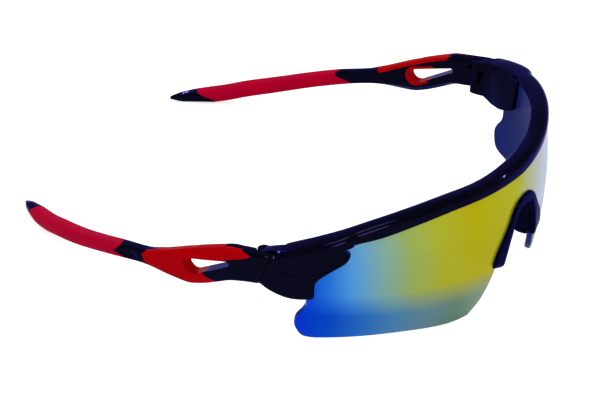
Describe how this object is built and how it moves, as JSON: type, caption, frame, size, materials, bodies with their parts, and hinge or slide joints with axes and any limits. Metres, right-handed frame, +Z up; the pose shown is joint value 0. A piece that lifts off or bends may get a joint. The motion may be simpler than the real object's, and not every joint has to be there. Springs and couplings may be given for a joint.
{
  "type": "sports sunglasses",
  "caption": "Wraparound sports sunglasses: a mirrored shield lens under a brow bar, a clip-on nose piece, and folding arms with slotted red inlays and rubber ear grips",
  "frame": {"origin": "middle of the bounding box on the table that the open sunglasses lie on", "axes": "+Z up, the lens faces -Y, +X is the wearer's left"},
  "size_m": [0.1414, 0.152, 0.044],
  "materials": {
    "frame_black": "gloss black moulded plastic",
    "lens_mirror": "clear moulded plastic with a mirror coating from blue over green to yellow",
    "nose_black": "half gloss black plastic",
    "pad_black": "soft black rubber",
    "inlay_red": "gloss red plastic",
    "grip_red": "satin red rubber",
    "screw_steel": "plain steel"
  },
  "bodies": {
    "front": {"brow_frame": "frame_black", "shield_lens": "lens_mirror", "nose_bridge": "nose_black", "nose_pad_right": "pad_black", "nose_pad_left": "pad_black", "hinge_screw_right": "screw_steel", "hinge_screw_left": "screw_steel"},
    "temple_right": {"temple_arm_right": "frame_black", "temple_inlay_right": "inlay_red", "ear_grip_right": "grip_red"},
    "temple_left": {"temple_arm_left": "frame_black", "temple_inlay_left": "inlay_red", "ear_grip_left": "grip_red"}
  },
  "joints": [
    {"name": "temple_right_fold", "type": "hinge", "parent": "front", "child": "temple_right", "pos_m": [-0.06596, -0.02713, 0.028], "axis": [0, 0, -1], "range_deg": [0, 90]},
    {"name": "temple_left_fold", "type": "hinge", "parent": "front", "child": "temple_left", "pos_m": [0.06596, -0.02713, 0.028], "axis": [0, 0, 1], "range_deg": [0, 80]}
  ]
}
